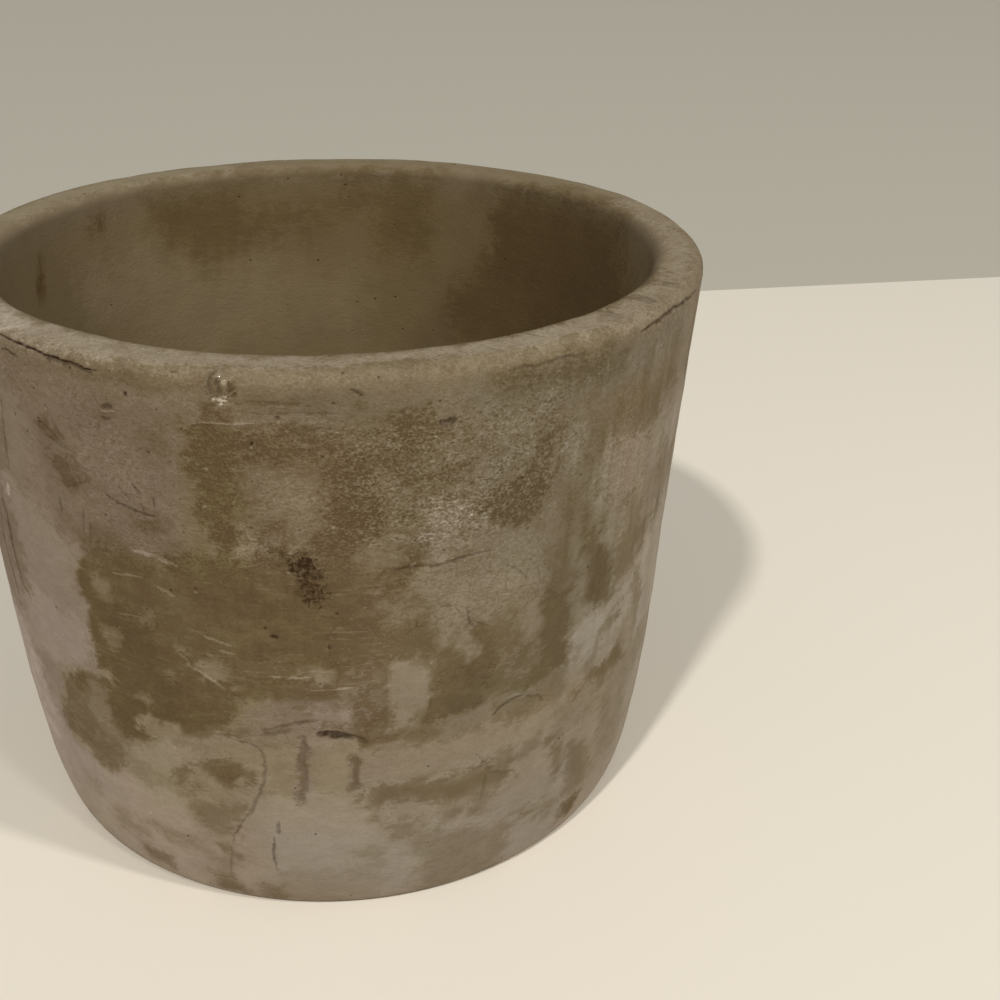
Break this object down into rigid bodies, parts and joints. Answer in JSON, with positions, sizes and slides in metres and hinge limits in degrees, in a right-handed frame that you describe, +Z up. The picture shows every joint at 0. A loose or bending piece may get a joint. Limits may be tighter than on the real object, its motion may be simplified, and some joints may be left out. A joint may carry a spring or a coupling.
{
  "type": "concrete planter",
  "caption": "Small round tabletop planter cast in one piece of concrete, with a thick rounded lip, a slightly tapered wall, a tucked-in foot and a drain hole in its floor.",
  "frame": {"origin": "centre of the flat underside, on the surface that the pot stands on", "axes": "+Z up along the axis that the pot is turned around, -Y towards the viewer, +X to the viewer's right"},
  "size_m": [0.1118, 0.1118, 0.087],
  "materials": {
    "weathered_concrete": "matte"
  },
  "bodies": {
    "root": {"pot": "weathered_concrete"}
  },
  "joints": []
}
